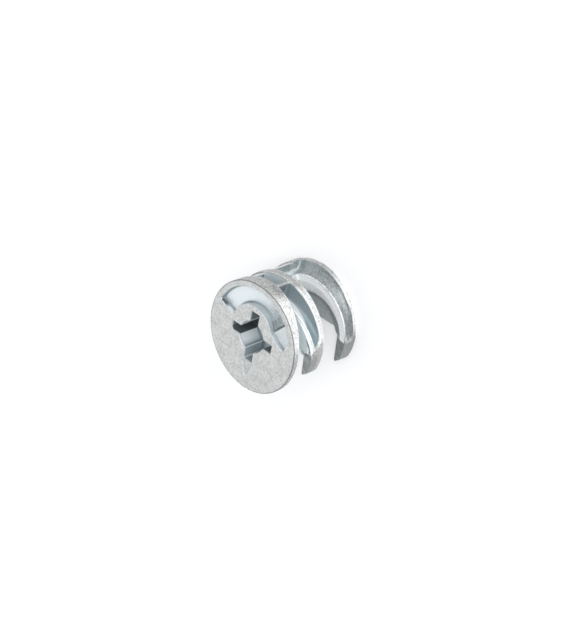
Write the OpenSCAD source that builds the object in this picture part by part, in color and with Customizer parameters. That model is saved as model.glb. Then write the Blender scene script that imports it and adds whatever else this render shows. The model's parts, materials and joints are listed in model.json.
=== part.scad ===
// Cam housing of a furniture connector: a one-piece zinc casting.
// The cam axis is +Z. The rear end stands on z = 0 and the driven head is on top.
// The connecting bolt enters from -Y, and its neck runs in the slot that opens towards +X.

/* [Housing] */
// Diameter of the housing, which fits the hole in the panel
body_d = 15; // [14:0.1:16]
// Height from the rear end to the head face
body_h = 11.5; // [11:0.1:13]

/* [Bolt passage] */
// Diameter of the bolt's head
bolt_head_d = 6.8; // [6.4:0.1:7.2]
// Diameter of the bolt's neck
bolt_neck_d = 3.8; // [3.4:0.1:4.2]
// Clearance around the bolt's head, across the pocket
head_clearance = 0.2; // [0.1:0.05:0.4]
// Clearance around the bolt's neck, across the slot
neck_clearance = 0.3; // [0.1:0.05:0.5]
// Angle at which the neck slot ends, counted from +X
slot_end = 112; // [96:1:116]

/* [Webs and jaws] */
// Thickness of the two webs that close the bolt chamber
web_t = 0.55; // [0.4:0.05:0.8]
// Sideways offset of the cam axis from the housing axis
cam_x = 0.7; // [0.4:0.05:0.9]
// Offset of the cam axis towards the mouth
cam_y = 0.8; // [0.5:0.05:1]
// Thickness left outside the sloping seat where it comes closest to the housing's outside
seat_wall = 0.457; // [0.3:0.01:0.6]
// Radius of the foot of the seat, about the cam axis
seat_foot_r = 3.6; // [3.3:0.1:3.9]
// Width of the flat crest of the rear jaw
rear_crest_w = 0.87; // [0.6:0.01:1]
// Thickness of the rear jaw's rim at the housing's outside
rear_rim_t = 0.65; // [0.5:0.05:0.9]
// Sideways shift of the front jaw's thin crest, which is an arc as large as the housing
crest_x = 0.35; // [0.3:0.05:0.6]
// Shift of that arc towards the mouth
crest_y = 2.55; // [2.4:0.05:2.7]
// Width of the thin crest
front_crest_w = 0.3; // [0.2:0.05:0.5]
// Drop of the thin crest below the front web
front_crest_drop = 0.15; // [0.1:0.05:0.3]
// Fall of the front jaw's hollowed side towards the claw, in degrees
crest_fall = 2.6; // [2:0.1:3.2]
// Thickness of the front jaw's rim
front_rim_t = 0.95; // [0.85:0.05:1.3]
// Thickness of the front jaw at the bottom of its hollow
front_floor_t = 0.83; // [0.7:0.01:1]
// Width over which the hollow's floor rises to the rim
hollow_w = 2.2; // [1.5:0.1:2.6]
// How far the front web reaches outside the seat, up to the groove beside the crest
front_web_out = 0.17; // [0.1:0.01:0.3]
// Depth of that groove
groove_depth = 0.9; // [0.5:0.05:1]

/* [Mouth] */
// Distance from the bolt's axis to the closed wall's edge
mouth_left = 3.7; // [3.65:0.05:4.2]
// Distance from the bolt's axis to the claws
mouth_right = 4.95; // [4.7:0.05:5.1]
// How far the webs stop short of the housing axis
mouth_edge = 0.4; // [0.2:0.05:0.6]
// Radius of the webs' corner beside the claws
mouth_corner_r = 1; // [0.6:0.1:1.2]
// Outward lean of the claws' inner side over their length
claw_flare = 0.5; // [0.2:0.05:0.6]
// Reach of the claws below the housing axis
claw_reach = 4; // [3.6:0.1:4.3]
// Thickness of the claws at their inner side
claw_edge_t = 0.65; // [0.5:0.05:0.9]

/* [Head] */
// Thickness of the head's rim on the mouth side
head_rim_t = 0.85; // [0.7:0.05:1]
// Extra thickness of the rim on the side away from the mouth
head_crown = 1.1; // [0.8:0.1:1.4]
// Depth of the head's tapered underside below the face
head_taper_depth = 2.2; // [2.05:0.05:2.5]
// Setback of that taper's lower end from the housing's outside
head_taper_in = 1.3; // [1:0.1:1.6]
// Radius of the boss around the drive
boss_r = 4.5; // [4.3:0.05:4.6]
// Angle of the rib between the head and the front jaw
rib_angle = 83; // [78:1:88]
// Thickness of the rib
rib_t = 0.4; // [0.3:0.05:0.6]

/* [Closed wall] */
// Distance from the housing axis to the wall's face beside the slot
wall_face = 3.4; // [3.1:0.1:3.8]
// Distance from the housing axis to the floor at the wall's foot
wall_foot = 4.9; // [4.75:0.05:5.2]
// How far the wall lies inside the housing's outer diameter
wall_recess = 0.25; // [0.1:0.05:0.4]
// Angle at which the wall ends beside the mouth
wall_end = 222; // [216:1:226]

/* [Drive] */
// Width of the two arms that lie in line with the mouth
arm_w = 1.5; // [1.3:0.05:1.8]
// Width of the two arms across them
cross_arm_w = 1.3; // [1.1:0.05:1.6]
// Distance across the ends of two opposite arms
drive_span = 7.1; // [6.8:0.1:7.6]
// Diameter of the round middle of the drive
drive_core_d = 4.3; // [3.9:0.1:4.6]
// Depth of the drive
drive_depth = 3.5; // [3:0.05:3.55]

/* [Marks] */
// Depth of the curved direction mark at its middle
sweep_depth = 1; // [0.8:0.05:1.1]
// Slope of the curved mark's floor, which is deeper towards the arrowhead
sweep_tilt = 2.9; // [0:0.1:3.5]
// Distance from the head's edge to the curved mark
sweep_edge = 0.8; // [0.6:0.05:1]
// Radius of the island inside the curved mark
island_r = 3.4; // [3.2:0.05:3.6]
// Angle at which the curved mark starts
sweep_start = 158.5; // [150:0.5:165]
// Angle of the step between the curved mark and its arrowhead
step_angle = 48.6; // [44:0.2:53]
// Depth of the arrowhead
arrow_depth = 0.5; // [0.3:0.05:0.7]
// Distance from the head's edge to the arrowhead
arrow_edge = 1.05; // [0.9:0.05:1.3]
// Depth of the triangle that points to the mouth
pointer_depth = 0.2; // [0.15:0.05:0.5]
// Width of the triangle's base
pointer_w = 1.75; // [1.4:0.05:2]
// Distance from the head's edge to the triangle's tip
pointer_edge = 1.3; // [1:0.1:1.8]

/* [Hidden] */
$fn = 96;
eps = 0.05;
far = 2 * body_d;
body_r = body_d / 2;
wall_r = body_r - wall_recess;
head_taper_r = body_r - head_taper_in;
sweep_r = body_r - sweep_edge;
arrow_r = body_r - arrow_edge;
pointer_tip = body_r - pointer_edge;
// Radii about the cam axis
seat_r = body_r - norm([cam_x, cam_y]) - seat_wall;
pocket = bolt_head_d + head_clearance;
slot_w = bolt_neck_d + neck_clearance;
// Levels along the cam axis
bolt_axis = web_t + pocket / 2;
slot_low = bolt_axis - slot_w / 2;
slot_top = bolt_axis + slot_w / 2;
chamber_top = web_t + pocket;
web_top = chamber_top + web_t;
front_crest = web_top - front_crest_drop;
rim_under = body_h - head_rim_t;
jaw_pitch = slot_top;

// Flat sector about the housing axis, larger than the housing
module sector(from, to) {
    steps = ceil((to - from) / 40);
    polygon(concat([[0, 0]], [for (i = [0:steps])
        let (a = from + (to - from) * i / steps) far * [cos(a), sin(a)]]));
}

// Turns a profile about the cam axis
module about_cam_axis(angle = 360, from = 0)
    translate([cam_x, -cam_y, 0]) rotate([0, 0, from])
        rotate_extrude(angle = angle) children();

// Outline of the mouth through which the bolt's head comes in
module mouth_outline() {
    claw_foot = mouth_right + claw_flare;
    difference() {
        polygon([[-mouth_left, mouth_edge], [mouth_right, mouth_edge],
                 [mouth_right, -eps], [claw_foot, -claw_reach], [claw_foot, -far],
                 [-mouth_left - 6, -far], [-mouth_left, -claw_reach]]);
        translate([mouth_right - mouth_corner_r, mouth_edge - mouth_corner_r])
            difference() {
                square(far);
                circle(r = mouth_corner_r);
            }
    }
}

// What is cut away around the claws' rounded tips
module tip_outline() {
    inner = mouth_right + claw_flare;
    tip_w = body_r - inner;
    polygon([[far, -claw_reach + 1.5], [body_r - 0.22 * tip_w, -claw_reach + 1.35],
             [body_r - 0.44 * tip_w, -claw_reach + 0.78], [body_r - 0.63 * tip_w, -claw_reach + 0.38],
             [body_r - 0.8 * tip_w, -claw_reach + 0.12], [body_r - 0.93 * tip_w, -claw_reach],
             [inner + 0.04 * tip_w, -claw_reach], [inner - 0.06, -claw_reach + 0.12],
             [mouth_right - 1, -claw_reach + 0.12], [mouth_right - 1, -far], [far, -far]]);
}

// Lead-in bevel on the side of a claw that faces the head
module claw_bevel(level) {
    rise = slot_low + eps - claw_edge_t;
    run = body_r - mouth_right;
    slope = rise / run;
    translate([0, 0, level]) rotate([90, 0, 0]) linear_extrude(height = far)
        polygon([[mouth_right - 1, claw_edge_t - slope], [far, claw_edge_t + slope * (far - mouth_right)],
                 [far, far * slope + 2], [mouth_right - 1, far * slope + 2]]);
}

// Bolt chamber: sloping seats on both sides of the neck slot
module chamber() {
    about_cam_axis()
        polygon([[0, web_t], [seat_foot_r, web_t], [seat_r, slot_low], [seat_r, slot_top],
                 [seat_foot_r, slot_top], [seat_foot_r, chamber_top], [0, chamber_top]]);
    about_cam_axis(170, 10)
        polygon([[seat_foot_r - 1, slot_top], [seat_r, slot_top],
                 [seat_foot_r, chamber_top], [seat_foot_r - 1, chamber_top]]);
}

// The side from which the jaws are hollowed, up to the face of the closed wall
module open_side() translate([-wall_face, 0]) square(far);

// Plan of the closed wall on the far side from the slot
module wall_outline() difference() {
    sector(90, wall_end);
    open_side();
}

// Plan of the filled corner at the foot of the closed wall
module wall_foot_outline() polygon([[-wall_face - 1, 0], [-wall_face - 1, wall_foot + 0.6],
    [-wall_face, wall_foot + 0.6], [-wall_face + 0.2, wall_foot + 0.25],
    [-wall_face + 0.5, wall_foot + 0.05], [-wall_face + 0.9, wall_foot], [0, wall_foot], [0, 0]]);

// Hollow around the rear crest, open to the slot
module rear_channel() {
    r = seat_r + rear_crest_w;
    intersection() {
        about_cam_axis()
            polygon([[r, slot_top], [r, slot_low - 0.1], [r + 0.12, slot_low - 0.65],
                     [r + 0.35, rear_rim_t + 0.25], [r + 0.75, rear_rim_t + 0.05],
                     [far, rear_rim_t], [far, slot_top]]);
        linear_extrude(height = far) difference() {
            open_side();
            wall_foot_outline();
        }
    }
}

// Thin crest and hollow on the front jaw's top, and the groove between the crest and the web
module front_channel() {
    inner = body_r - front_crest_w / 2;
    outer = body_r + front_crest_w / 2;
    low = slot_top + front_floor_t;
    rim = slot_top + front_rim_t;
    top = web_top + 1;
    intersection() {
        translate([crest_x, -crest_y, 0]) rotate([0, 0, -35]) rotate([0, crest_fall, 0])
            rotate_extrude()
                polygon([[inner, top], [inner, front_crest], [outer, front_crest], [outer + 0.1, low + 0.35],
                         [outer + 0.35, low + 0.06], [outer + 0.6, low], [outer + hollow_w, rim],
                         [outer + 4, rim], [outer + 4, top]]);
        linear_extrude(height = far) open_side();
    }
    translate([0, 0, web_top - groove_depth]) linear_extrude(height = groove_depth + 1) intersection() {
        sector(0, 60);
        difference() {
            translate([crest_x, -crest_y]) circle(r = inner);
            translate([cam_x, -cam_y]) circle(r = seat_r + front_web_out);
        }
    }
}

// The two jaws, the webs that carry them and the closed wall on the far side
module jaws() difference() {
    union() {
        cylinder(r = body_r, h = web_top);
        intersection() {
            cylinder(r = wall_r, h = rim_under);
            linear_extrude(height = far) wall_outline();
        }
    }
    chamber();
    translate([0, 0, slot_low]) linear_extrude(height = slot_w) {
        sector(-90, slot_end);
        difference() {
            circle(r = far);
            circle(r = wall_r);
        }
    }
    translate([0, 0, slot_top + front_rim_t]) linear_extrude(height = far) difference() {
        wall_outline();
        circle(r = wall_r);
    }
    translate([0, 0, -1]) linear_extrude(height = far) mouth_outline();
    translate([0, 0, -1]) linear_extrude(height = web_top + 1.5) tip_outline();
    rear_channel();
    front_channel();
    intersection() {
        claw_bevel(0);
        cylinder(r = far, h = slot_low + 1);
    }
    claw_bevel(jaw_pitch);
}

// Ramp that carries the front web down to the front claw
module web_ramp() {
    low = slot_top + 0.8;
    intersection() {
        translate([boss_r - 0.4, eps, 0]) rotate([90, 0, 90])
            linear_extrude(height = mouth_right - boss_r + 0.8)
                polygon([[0, low], [-1.5, low], [-1.5, low + 0.1], [-0.15, web_top], [0, web_top]]);
        cylinder(r = body_r, h = web_top);
    }
}

// Plain boss around the drive, and the rib beside it
module boss_and_rib() {
    translate([0, 0, chamber_top]) cylinder(r = boss_r, h = rim_under + eps - chamber_top);
    rotate([0, 0, rib_angle]) translate([boss_r - 0.5, -rib_t / 2, slot_top + front_floor_t - 0.2])
        cube([body_r - boss_r + 0.45, rib_t, rim_under - slot_top - front_floor_t + 0.2]);
}

// Head: a plate whose rim grows thicker away from the mouth, on a tapered underside
module head() {
    crown_r = body_r * body_r / (2 * head_crown);
    difference() {
        translate([0, 0, rim_under - head_crown - 0.2])
            cylinder(r = body_r, h = head_rim_t + head_crown + 0.2);
        translate([-far, -far, -far]) cube([2 * far, far + 0.5, far + rim_under]);
        translate([-far, -0.5, rim_under - crown_r + 0.005]) rotate([0, 90, 0])
            cylinder(r = crown_r, h = 2 * far, $fn = 200);
    }
    translate([0, 0, body_h - head_taper_depth])
        cylinder(r1 = head_taper_r, r2 = body_r - 0.15, h = head_taper_depth - head_rim_t + 0.1);
}

// Four-armed drive with a round middle
module drive() translate([0, 0, body_h - drive_depth]) linear_extrude(height = drive_depth + 1) {
    square([drive_span, cross_arm_w], center = true);
    square([arm_w, drive_span], center = true);
    circle(d = drive_core_d);
}

// Curved mark that shows which way to turn, with a shallower arrowhead
module direction_mark() {
    intersection() {
        translate([0, 0, body_h - 2 * sweep_depth]) linear_extrude(height = 2 * sweep_depth + 1) difference() {
            intersection() {
                circle(r = sweep_r);
                sector(step_angle - 20, sweep_start);
            }
            translate([-0.2, 1]) circle(r = island_r);
        }
        translate([0, 0, body_h - sweep_depth]) rotate([0, sweep_tilt, 0])
            translate([-far, -far, 0]) cube([2 * far, 2 * far, far]);
        translate([island_r - 0.35, island_r - 1.3, body_h - arrow_depth])
            rotate([0, 0, step_angle]) rotate([20, 0, 0]) translate([-far, 0, -far])
                cube([2 * far, far, 2 * far]);
    }
    translate([0, 0, body_h - arrow_depth]) linear_extrude(height = arrow_depth + 1) intersection() {
        circle(r = arrow_r);
        polygon([[island_r - 0.35, island_r - 1.3], [island_r + 0.2, island_r - 1.7],
                 [island_r + 0.8, island_r - 2.1], [island_r + 1.4, island_r - 2.4],
                 [arrow_r - 0.95, island_r - 2.65], [arrow_r - 0.85, island_r - 2.2],
                 [arrow_r - 0.7, island_r - 1.6], [arrow_r - 0.55, island_r - 0.8],
                 [arrow_r - 0.15, island_r + 0.6], [arrow_r - 1.25, island_r + 1.2]]);
    }
}

// Triangle that points to the mouth
module mouth_mark() translate([0, 0, body_h - pointer_depth]) linear_extrude(height = pointer_depth + 1)
    polygon([[-pointer_w / 2, -drive_span / 2 - 0.2], [pointer_w / 2, -drive_span / 2 - 0.2],
             [-0.1, -pointer_tip]]);

module cam_housing() color("silver") difference() {
    union() {
        jaws();
        web_ramp();
        boss_and_rib();
        head();
    }
    drive();
    direction_mark();
    mouth_mark();
}

cam_housing();
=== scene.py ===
# Cam housing of a furniture connector: one zinc die casting on a pale floor.
# Metres throughout; +Z is the housing's axis, head up, and -Y is the mouth.
import json
import math

import bmesh
import bpy
import numpy as np
from mathutils import Matrix, Vector
from mathutils.bvhtree import BVHTree

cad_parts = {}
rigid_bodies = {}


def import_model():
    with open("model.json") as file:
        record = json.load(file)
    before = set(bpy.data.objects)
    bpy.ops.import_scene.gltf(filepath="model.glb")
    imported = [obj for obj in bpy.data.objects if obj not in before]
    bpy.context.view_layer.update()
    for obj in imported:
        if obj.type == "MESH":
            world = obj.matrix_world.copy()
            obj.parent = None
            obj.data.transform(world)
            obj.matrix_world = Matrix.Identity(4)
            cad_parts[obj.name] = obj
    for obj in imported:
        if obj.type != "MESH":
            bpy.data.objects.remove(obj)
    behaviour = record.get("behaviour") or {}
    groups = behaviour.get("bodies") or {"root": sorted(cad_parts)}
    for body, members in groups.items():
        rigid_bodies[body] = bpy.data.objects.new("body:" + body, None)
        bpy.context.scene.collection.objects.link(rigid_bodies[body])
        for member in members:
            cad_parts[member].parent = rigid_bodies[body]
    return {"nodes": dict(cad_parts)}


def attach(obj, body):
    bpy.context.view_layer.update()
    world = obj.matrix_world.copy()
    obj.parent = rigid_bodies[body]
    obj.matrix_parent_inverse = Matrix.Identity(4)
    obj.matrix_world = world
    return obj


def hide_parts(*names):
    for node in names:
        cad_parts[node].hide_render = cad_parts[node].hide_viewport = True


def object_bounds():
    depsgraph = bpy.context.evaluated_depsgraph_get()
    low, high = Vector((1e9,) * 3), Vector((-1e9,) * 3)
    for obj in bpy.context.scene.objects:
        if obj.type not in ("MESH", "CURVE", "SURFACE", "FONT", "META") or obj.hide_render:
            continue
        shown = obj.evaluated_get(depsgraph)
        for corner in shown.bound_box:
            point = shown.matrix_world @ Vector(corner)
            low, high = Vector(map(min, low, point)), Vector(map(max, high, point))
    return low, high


scene = bpy.context.scene
for leftover in list(bpy.data.objects):
    bpy.data.objects.remove(leftover)
scene.view_settings.view_transform = "Standard"

# Camera: looks down on the head at about 40 degrees, from the slot's side,
# rolled so that the head's face is on the left.
view = Vector((0.559, 0.5216, 0.6455)).normalized()
head_centre = Vector((0, 0, 0.0115))
distance = 0.1875
focal = 85.07
right = Vector((-0.208, 0.978, 0)).cross(view).normalized()
upward = view.cross(right).normalized()
plain_aim = Matrix((right, upward, view)).transposed()
aside = Vector((-0.0227, -0.01491, -1)).normalized().rotation_difference(Vector((0, 0, -1)))
camera = bpy.data.objects.new("camera", bpy.data.cameras.new("camera"))
scene.collection.objects.link(camera)
camera.matrix_world = (Matrix.Translation(head_centre + view * distance)
                       @ (plain_aim @ aside.to_matrix()).to_4x4())
camera.data.sensor_fit = "VERTICAL"
camera.data.sensor_height = 36
camera.data.lens = focal
camera.data.clip_start = 0.01
camera.data.clip_end = 20
scene.camera = camera

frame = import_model()
cad_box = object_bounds()

# Cam housing: the one piece of the connector that turns in its hole. It is
# die-cast in zinc, tumbled and thinly plated, so every edge is slightly round
# and the rims are worn.
skin_step = 0.085       # mm between the points of the skin
most_triangles = 190000
to_mm = 1000

cad = frame["nodes"]["cam_housing"]
casting = bpy.data.objects.new("zinc_casting", cad.data.copy())
scene.collection.objects.link(casting)
casting.data.materials.clear()

shell = bmesh.new()
shell.from_mesh(casting.data)
bmesh.ops.remove_doubles(shell, verts=shell.verts, dist=2e-6)
shell.to_mesh(casting.data)
shell.free()
casting.data.transform(Matrix.Scale(to_mm, 4))


def apply_modifiers(piece):
    """Bakes the piece's modifiers into its mesh."""
    bpy.context.view_layer.update()
    baked = bpy.data.meshes.new_from_object(
        piece.evaluated_get(bpy.context.evaluated_depsgraph_get()))
    old = piece.data
    piece.modifiers.clear()
    piece.data = baked
    bpy.data.meshes.remove(old)


voxels = casting.modifiers.new("skin", "REMESH")
voxels.mode = "VOXEL"
voxels.voxel_size = skin_step
voxels.use_smooth_shade = True
soften = casting.modifiers.new("soften", "SMOOTH")
soften.factor = 0.5
soften.iterations = 3
apply_modifiers(casting)

thin = casting.modifiers.new("thin", "DECIMATE")
thin.ratio = min(1, most_triangles / sum(len(p.vertices) - 2 for p in casting.data.polygons))
apply_modifiers(casting)

# how open each point of the skin lies, by the share of short rays that leave
# it without meeting the casting again
mesh = casting.data
count = len(mesh.vertices)
points = np.empty(count * 3)
mesh.vertices.foreach_get("co", points)
points = points.reshape(-1, 3)
normals = np.empty(count * 3)
mesh.vertices.foreach_get("normal", normals)
normals = normals.reshape(-1, 3)
ends = np.empty(len(mesh.edges) * 2, dtype=int)
mesh.edges.foreach_get("vertices", ends)
ends = ends.reshape(-1, 2)


def spread(values, times):
    """Averages values with those of the neighbouring points, a number of times."""
    for _ in range(times):
        total = values.copy()
        share = np.ones(count)
        np.add.at(total, ends[:, 0], values[ends[:, 1]])
        np.add.at(total, ends[:, 1], values[ends[:, 0]])
        np.add.at(share, ends[:, 0], 1)
        np.add.at(share, ends[:, 1], 1)
        values = total / share
    return values


rays = 20
ray_length = 5.0
ray_start = 0.03
golden_angle = 2.39996
dome = [Vector((math.sqrt(1 - (i + 0.5) / rays) * math.cos(i * golden_angle),
                math.sqrt(1 - (i + 0.5) / rays) * math.sin(i * golden_angle),
                math.sqrt((i + 0.5) / rays))) for i in range(rays)]
tree = BVHTree.FromPolygons([tuple(p) for p in points], [tuple(p.vertices) for p in mesh.polygons])
open_share = np.empty(count)
for i in range(count):
    normal = Vector(normals[i])
    turn = normal.to_track_quat("Z", "Y").to_matrix()
    start = Vector(points[i]) + normal * ray_start
    open_share[i] = sum(tree.ray_cast(start, turn @ way, ray_length)[0] is None for way in dome) / rays
open_share = spread(open_share, 3)

# how sharply the skin bends at each point: above 0 at a corner that stands
# out and below 0 in an inner one
bend = np.zeros(count)
reach = np.zeros(count)
step = points[ends[:, 1]] - points[ends[:, 0]]
length = np.linalg.norm(step, axis=1) + 1e-9
turned = np.einsum("ij,ij->i", normals[ends[:, 1]] - normals[ends[:, 0]], step) / length
for side in (0, 1):
    np.add.at(bend, ends[:, side], turned)
    np.add.at(reach, ends[:, side], length)
edge = spread(bend / np.maximum(reach, 1e-9), 2)
for name, values in (("open", open_share), ("edge", edge)):
    layer = mesh.attributes.new(name, "FLOAT", "POINT")
    layer.data.foreach_set("value", values.astype(np.float32))

casting.data.transform(Matrix.Scale(1 / to_mm, 4))
for polygon in casting.data.polygons:
    polygon.use_smooth = True

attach(casting, "root")
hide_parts("cam_housing")

# The plating is smooth and a little blue where the tool shaped the casting,
# and neutral and mottled where tumbling has worn it. Places are in millimetres
# from the middle of the rear end: across, back from the mouth, and height.
zinc = bpy.data.materials.new("zinc")
zinc.use_nodes = True
nodes = zinc.node_tree.nodes
links = zinc.node_tree.links
nodes.clear()


def feed(socket, value):
    """Links an output to a socket, or sets a plain number or colour there."""
    if hasattr(value, "links"):
        links.new(value, socket)
    elif isinstance(value, tuple) and socket.type == "RGBA":
        socket.default_value = (*value, 1)
    else:
        socket.default_value = value


def number(operation, first, second, clamp=False):
    """One step of arithmetic on masks."""
    node = nodes.new("ShaderNodeMath")
    node.operation = operation
    node.use_clamp = clamp
    feed(node.inputs[0], first)
    feed(node.inputs[1], second)
    return node.outputs[0]


def direction(operation, first, second=(0, 0, 0)):
    """One step of arithmetic on places and directions."""
    node = nodes.new("ShaderNodeVectorMath")
    node.operation = operation
    feed(node.inputs[0], first)
    feed(node.inputs[1], second)
    return node.outputs["Value" if operation in ("LENGTH", "DOT_PRODUCT") else "Vector"]


def between(value, low, high):
    """0 at low, 1 at high, and smooth in between."""
    node = nodes.new("ShaderNodeMapRange")
    node.interpolation_type = "SMOOTHSTEP"
    node.inputs["From Min"].default_value = low
    node.inputs["From Max"].default_value = high
    links.new(value, node.inputs["Value"])
    return node.outputs["Result"]


def span(value, low, high, soft=0.06):
    """1 from low to high, and 0 outside."""
    return both(between(value, low - soft, low + soft), between(value, high + soft, high - soft))


def both(*masks):
    """1 only where every mask is 1; a plain number among them weakens the result."""
    result = masks[0]
    for mask in masks[1:]:
        result = number("MULTIPLY", result, mask)
    return result


def either(first, second):
    """1 where one mask or the other is 1."""
    return number("ADD", first, second, clamp=True)


def less(mask, share=1.0):
    """1 away from the mask, and less by the given share in it."""
    return number("SUBTRACT", 1, number("MULTIPLY", mask, share))


def blend(share, first, second):
    """The first colour, giving way to the second where share is 1."""
    node = nodes.new("ShaderNodeMix")
    node.data_type = "RGBA"
    feed(node.inputs["Factor"], share)
    feed(node.inputs[6], first)
    feed(node.inputs[7], second)
    return node.outputs[2]


def noise(scale, detail, roughness=0.5, stretch=(1, 1, 1)):
    """Cast grain, with about this many grains to the millimetre."""
    node = nodes.new("ShaderNodeTexNoise")
    node.inputs["Scale"].default_value = scale
    node.inputs["Detail"].default_value = detail
    node.inputs["Roughness"].default_value = roughness
    links.new(direction("MULTIPLY", place, stretch), node.inputs["Vector"])
    return node.outputs["Fac"]


def shares(*parts):
    """The sum of some noises, each with its share."""
    result = number("MULTIPLY", *parts[0])
    for part in parts[1:]:
        result = number("ADD", result, number("MULTIPLY", *part))
    return result


def attribute(name):
    """One of the values kept at the skin's points."""
    node = nodes.new("ShaderNodeAttribute")
    node.attribute_name = name
    return node.outputs["Fac"]


own = nodes.new("ShaderNodeTexCoord")
place = direction("MULTIPLY", own.outputs["Object"], (to_mm, to_mm, to_mm))
split = nodes.new("ShaderNodeSeparateXYZ")
links.new(place, split.inputs[0])
across, back, height = split.outputs
outer_radius = to_mm * cad_box[1][0]
face_height = to_mm * cad_box[1][2]
below_face = number("SUBTRACT", face_height, height)
flat = direction("MULTIPLY", place, (1, 1, 0))
radius = direction("LENGTH", flat)
toward = direction("NORMALIZE", flat)
leaning = direction("DOT_PRODUCT", own.outputs["Normal"], toward)
openness = attribute("open")
corner = attribute("edge")


def faces(way, low, high):
    """1 where the skin faces that way, fading to 0 as it turns from it."""
    return between(direction("DOT_PRODUCT", own.outputs["Normal"], way), low, high)


blotch = noise(0.9, 3)
grain = noise(2.6, 3, 0.6)
speck = noise(8.5, 2, 0.6)
mottle = shares((blotch, 0.2), (grain, 0.35), (speck, 0.45))
fine = shares((grain, 0.3), (speck, 0.7))


def mottled(dark, light, low=0.36, high=0.6):
    """A colour that changes from point to point."""
    return blend(between(mottle, low, high), dark, light)


worn = between(openness, 0.72, 0.9)
colour = blend(worn,
               mottled((0.70, 0.77, 0.795), (0.78, 0.825, 0.84), 0.35, 0.65),
               mottled((0.49, 0.495, 0.488), (0.69, 0.695, 0.688), 0.4, 0.58))

# the outer wall is painted white as a highlight on the slot's side and painted
# grey as shade elsewhere, pitted all over, and scuffed dark beside the web
outside = between(radius, outer_radius - 0.22, outer_radius - 0.14)
inside = less(outside)
slot_side = (0.766, 0.643, 0)
highlight_side = between(direction("DOT_PRODUCT", toward, slot_side), 0.8, 0.96)
pits = between(fine, 0.37, 0.55)
shaded_wall = blend(pits, (0.2, 0.205, 0.205), (0.5, 0.505, 0.5))
highlit_wall = blend(pits, (0.42, 0.425, 0.42), (0.92, 0.925, 0.92))
colour = blend(outside, colour, blend(highlight_side, shaded_wall, highlit_wall))
scuff = both(outside, between(across, 0.2, 1), between(across, 3.6, 2.4),
             between(height, 10.8, 10.1), between(height, 9.2, 9.5), between(fine, 0.56, 0.46), 0.85)
colour = blend(scuff, colour, (0.13, 0.135, 0.135))

# the front jaw's hollow behind its crest is smooth and blue, painted dark as
# shade, and the web's face there is painted darker still as shade
crest_middle = (0.35, -2.55, 0)
from_crest = direction("LENGTH", direction("SUBTRACT", flat, crest_middle))
front = both(inside, between(across, 0.5, 0.9))
hollow = both(front, span(from_crest, 7.68, 12), span(height, 6.8, 8.2))
colour = blend(hollow, colour, blend(between(openness, 0.4, 0.8), (0.34, 0.405, 0.435), (0.24, 0.305, 0.34)))
web_face = both(faces((1, 0, 0), 0.85, 0.95), span(across, 0.9, 1.25), between(height, 7.5, 8), inside)
colour = blend(web_face, colour, mottled((0.13, 0.155, 0.165), (0.3, 0.35, 0.37), 0.4, 0.56))

# the sweep's floor is painted darker as shade at its low end, and the arrow's floor is pale
off_rim = between(radius, 7.1, 7)
sweep = both(span(radius, 3.4, 6.7), span(below_face, 0.65, 1.7))
low_end = both(sweep, between(across, 0.8, 3), between(mottle, 0.64, 0.42))
colour = blend(low_end, colour, (0.27, 0.31, 0.325))
arrow_floor = both(span(below_face, 0.38, 0.6), off_rim, faces((0, 0, 1), 0.8, 0.95))
colour = blend(arrow_floor, colour, mottled((0.57, 0.625, 0.645), (0.69, 0.735, 0.75), 0.38))

# the rear jaw's channel, seat and foot are painted grey as shade, its crest has
# a painted highlight, and the closed wall's end beside them is grey too
rear = both(inside, between(height, 2.4, 2.3))
channel = both(rear, between(leaning, -0.12, 0), between(height, 1.92, 1.86), between(radius, 4.5, 4.8),
               between(across, -3.8, -2.6))
colour = blend(channel, colour, mottled((0.24, 0.265, 0.27), (0.5, 0.535, 0.54)))
# nearer the mouth the channel's painted shade is darker still
low_channel = both(channel, between(back, 5.2, 3.6))
colour = blend(low_channel, colour, mottled((0.15, 0.17, 0.175), (0.36, 0.385, 0.39)))
seat = both(rear, between(radius, 5.6, 5), between(height, 1.3, 0.9))
colour = blend(seat, colour, mottled((0.34, 0.36, 0.365), (0.52, 0.54, 0.54)))
foot = both(rear, span(height, 0.6, 1.8, 0.2), between(leaning, -0.15, -0.3), between(across, -3.2, -2.4))
colour = blend(foot, colour, (0.24, 0.26, 0.265))
rising = number("ADD", height, number("MULTIPLY", back, 0.67))
top = either(between(rising, 2.9, 3.5), between(height, 1.9, 1.97))
crest = both(rear, top, between(leaning, 0.1, -0.05), between(height, 0.7, 1.1), between(back, -0.8, 0))
# the crest's painted highlight is brightest on top, and mottled with painted shade on its slope
crest_slope = mottled((0.3, 0.32, 0.32), (0.9, 0.92, 0.92), 0.4, 0.54)
crest_top = mottled((0.8, 0.82, 0.82), (0.99, 0.99, 0.99), 0.36, 0.56)
colour = blend(crest, colour, blend(between(height, 0.9, 1.8), crest_slope, crest_top))
end_face = both(faces((1, 0, 0), 0.8, 0.95), span(across, -3.6, -3.2), between(height, 6, 5.5),
                between(radius, 5.8, 6.2))
colour = blend(end_face, colour, mottled((0.2, 0.235, 0.245), (0.42, 0.47, 0.485)))

# corners that stand out are worn and have a painted highlight, though less so on
# the face, round the drive, on the shaded part of the outer wall and by the closed wall
on_face = both(between(below_face, 0.7, 0.6), off_rim)
near_drive = between(radius, 3.8, 3.7)
off_shaded_wall = either(between(radius, 7.3, 7.2), number("ADD", highlight_side, 0.3))
closed_wall = both(inside, between(across, -2.4, -3), between(height, 5.8, 5))
wear_and_highlight = both(between(corner, 0.4, 1.5), between(mottle, 0.36, 0.54), less(on_face, 0.75),
              less(near_drive, 0.7), off_shaded_wall, less(closed_wall))
colour = blend(wear_and_highlight, colour, (0.92, 0.93, 0.925))

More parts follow.
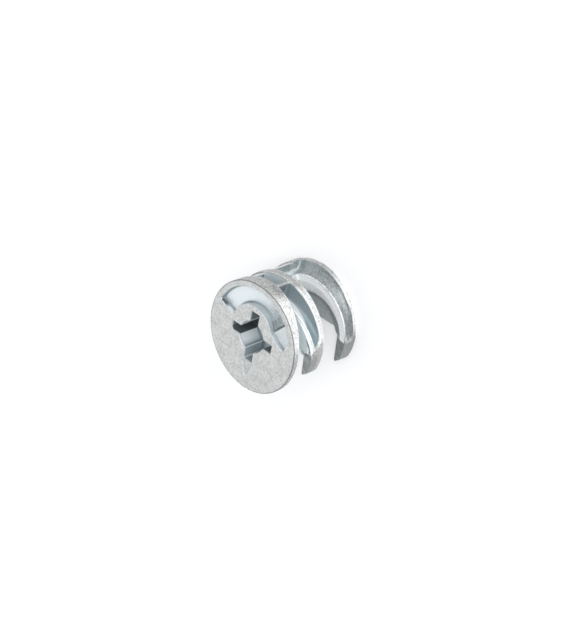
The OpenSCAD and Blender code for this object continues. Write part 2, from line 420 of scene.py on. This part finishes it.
# inner corners are painted darker as shade, apart from the rear channel and the pointer
rear_without_crease_shade = both(rear, either(between(leaning, -0.12, 0), between(across, -0.8, -1.2)))
pointer = both(between(below_face, 0.3, 0.25), off_rim)
crease_shade = both(between(corner, -0.4, -1.6), less(rear_without_crease_shade), less(pointer, 0.7), 0.8)
colour = blend(crease_shade, colour, (0.24, 0.27, 0.28))

# the front crest has a painted highlight, the groove behind it is painted pale as light, and a dark spot of
# painted shade sits at its end
groove = both(front, between(from_crest, 7.4, 7.34), between(radius, 4.8, 5), span(height, 6.6, 8.3),
              between(back, 0.2, 0.6))
colour = blend(groove, colour, (0.86, 0.91, 0.93))
ridge = both(front, span(from_crest, 7.34, 7.68), span(height, 6.8, 8.3))
colour = blend(ridge, colour, (0.93, 0.94, 0.94))
crest_end_shade = both(inside, span(from_crest, 7.12, 7.36), between(height, 7.9, 7.95), between(height, 8.3, 8.2),
            between(back, 2.1, 1.4), 0.85)
colour = blend(crest_end_shade, colour, (0.16, 0.185, 0.195))

# the sweep's walls are darker, and painted shade makes them darkest at its start, at its step and along the
# step's foot
island_wall = both(between(below_face, 1.3, 1.2), between(radius, 6.9, 6.8), between(leaning, 0.3, 0.8), 0.6)
colour = blend(island_wall, colour, (0.42, 0.47, 0.49))
start_wall = both(faces((0.37, 0.93, 0), 0.9, 0.97), span(across, -6.8, -5, 0.4), between(below_face, 1.4, 1.2))
colour = blend(start_wall, colour, (0.13, 0.155, 0.165))
step_shade = (0.2, 0.235, 0.245)
step_wall = both(sweep, faces((-0.70, 0.62, 0.34), 0.75, 0.9))
colour = blend(step_wall, colour, step_shade)
step_side = (0.64, 0.768, 0)
by_step = direction("DOT_PRODUCT", toward, step_side)
step_foot = both(sweep, between(by_step, 0.9925, 0.9995), between(below_face, 0.6, 0.65),
                 between(mottle, 0.34, 0.5), 0.45)
colour = blend(step_foot, colour, step_shade)

# the drive's walls are painted lit or shaded by the way they face: dark as shade
# on those that face away from the mouth, on the floor and in the left corner, grey on the others, and bright as
# a highlight on the round core
drive_reach = between(radius, 3.7, 3.6)
drive = both(drive_reach, between(below_face, 0.2, 0.3), between(below_face, 3.7, 3.6))
back_wall = both(drive, faces((0, 1, 0), 0.8, 0.95))
side_wall = both(drive, faces((1, 0, 0), 0.9, 0.97))
core_wall = both(drive, faces((0.85, 0.5, 0), 0.9, 0.97))
left_corner = both(drive, between(across, -3.2, -3.5), between(back, 0, -0.4))
drive_floor = both(drive_reach, span(below_face, 3.2, 3.9, 0.2), between(below_face, 2.7, 3.3),
                   between(across, -0.2, -0.8))
for area, painted_tone in (
        (both(back_wall, span(back, -2.5, 0.4)), (0.15, 0.175, 0.185)),
        (side_wall, (0.52, 0.59, 0.62)),
        (both(side_wall, between(across, -2.8, -3)), (0.3, 0.34, 0.35)),
        (both(side_wall, between(back, 1.2, 1.6)), (0.2, 0.235, 0.25)),
        (both(back_wall, between(back, -2.5, -2.7)), (0.36, 0.42, 0.44)),
        (core_wall, (0.95, 0.975, 0.98)),
        (left_corner, (0.14, 0.165, 0.17)),
        (drive_floor, blend(between(across, -1.8, -2.5), (0.34, 0.39, 0.41), (0.12, 0.145, 0.15)))):
    colour = blend(area, colour, painted_tone)

# a thin dark line, broken here and there, runs round the edge of the face
line = both(between(radius, outer_radius - 0.12, outer_radius - 0.08), between(below_face, 0.18, 0.1),
            between(grain, 0.28, 0.42))
colour = blend(line, colour, (0.24, 0.245, 0.245))

# the claws' ends are painted dark as shade: on the facets, drawn out in streaks where they were trimmed, and on
# the outer walls
streaks = noise(1, 2, stretch=(0.5, 4.5, 0.5))
trimmed = both(faces((-0.48, 0, 0.88), 0.9, 0.97), between(back, 0.2, 0), between(height, 9, 8.9))
colour = blend(trimmed, colour, blend(between(streaks, 0.35, 0.65), (0.16, 0.175, 0.18), (0.36, 0.375, 0.38)))
jaws = either(span(height, 6.9, 8.5, 0.2), span(height, 1.2, 2.5, 0.2))
claws = either(both(outside, between(back, 0.2, -0.8), jaws),
               both(outside, between(height, 2.5, 2.3), between(back, 1.4, -0.4)))
colour = blend(both(claws, between(across, 3.5, 5.5), 0.8), colour, (0.27, 0.28, 0.28))

# above its rim the rear jaw's wall carries on the channel's painted shade beside
# it, where the casting's shape has no channel, with a painted dark line for the rim, down to a frayed patch at
# the claw
beside = both(between(radius, 7.2, 7.3), between(across, 4.4, 5.2), between(back, 0.2, 0.9))
channel_shade = both(beside, span(height, 0.76, 1.92))
colour = blend(channel_shade, colour, mottled((0.12, 0.135, 0.14), (0.29, 0.31, 0.315)))
rim_line = both(beside, span(height, 0.68, 0.8, 0.03), between(across, 5.4, 6.6), between(grain, 0.3, 0.45))
colour = blend(rim_line, colour, (0.12, 0.13, 0.135))
fray = both(between(radius, 6.6, 6.8), between(across, 4.4, 5.2), span(back, 0, 0.9, 0.3),
            span(height, 0.7, 1.96), between(mottle, 0.47, 0.52), 0.7)
colour = blend(fray, colour, (0.7, 0.71, 0.71))

rough = number("ADD", shares((worn, 0.15), (hollow, 0.12)), 0.4)
metal = number("SUBTRACT", number("ADD", number("MULTIPLY", worn, 0.35), 0.5),
               number("MULTIPLY", crest, 0.6), clamp=True)
out = nodes.new("ShaderNodeOutputMaterial")
skin = nodes.new("ShaderNodeBsdfPrincipled")
links.new(skin.outputs["BSDF"], out.inputs["Surface"])
links.new(colour, skin.inputs["Base Color"])
links.new(rough, skin.inputs["Roughness"])
links.new(metal, skin.inputs["Metallic"])
bump = nodes.new("ShaderNodeBump")
bump.inputs["Strength"].default_value = 0.4
bump.inputs["Distance"].default_value = 0.00005
links.new(shares((grain, 0.6), (speck, 0.4)), bump.inputs["Height"])
links.new(bump.outputs["Normal"], skin.inputs["Normal"])
casting.data.materials.append(zinc)

# Floor: a plain white sheet of paper that the housing stands on. It shows
# white around the shadow, and glossy metal sees it a little brighter.
floor_reach = 2
floor_mesh = bpy.data.meshes.new("floor")
floor_mesh.from_pydata([(-floor_reach, -floor_reach, 0), (floor_reach, -floor_reach, 0),
                        (floor_reach, floor_reach, 0), (-floor_reach, floor_reach, 0)], [], [(0, 1, 2, 3)])
floor = bpy.data.objects.new("floor", floor_mesh)
scene.collection.objects.link(floor)
paper = bpy.data.materials.new("paper")
paper.use_nodes = True
nodes = paper.node_tree.nodes
links = paper.node_tree.links
nodes.clear()
out = nodes.new("ShaderNodeOutputMaterial")
matt = nodes.new("ShaderNodeBsdfPrincipled")
matt.inputs["Base Color"].default_value = (0.86, 0.86, 0.86, 1)
matt.inputs["Roughness"].default_value = 0.9
matt.inputs["Specular IOR Level"].default_value = 0
matt.inputs["Emission Color"].default_value = (1, 1, 1, 1)
path = nodes.new("ShaderNodeLightPath")
links.new(shares((path.outputs["Is Camera Ray"], 0.16), (path.outputs["Is Glossy Ray"], 0.3)),
          matt.inputs["Emission Strength"])
links.new(matt.outputs["BSDF"], out.inputs["Surface"])
floor_mesh.materials.append(paper)

# Light: an even white studio with a broad lamp on the slot's side, and a weak
# one on the mouth's side that lifts the head's face.
world = bpy.data.worlds.new("studio")
scene.world = world
world.use_nodes = True
background = world.node_tree.nodes["Background"]
background.inputs["Color"].default_value = (0.97, 0.985, 1, 1)
background.inputs["Strength"].default_value = 0.8
lamp_distance = 0.6


def soft_lamp(name, way, size, power):
    """A square lamp that is aimed at the head from the given way."""
    data = bpy.data.lights.new(name, "AREA")
    data.shape = "SQUARE"
    data.size = size
    data.energy = power
    lamp = bpy.data.objects.new(name, data)
    way = Vector(way).normalized()
    lamp.location = head_centre + way * lamp_distance
    lamp.rotation_euler = way.to_track_quat("Z", "Y").to_euler()
    scene.collection.objects.link(lamp)


soft_lamp("key", (0.6, 0.6, 0.53), 0.45, 1.9)
soft_lamp("fill", (-0.56, -0.5, 0.66), 0.5, 0.35)
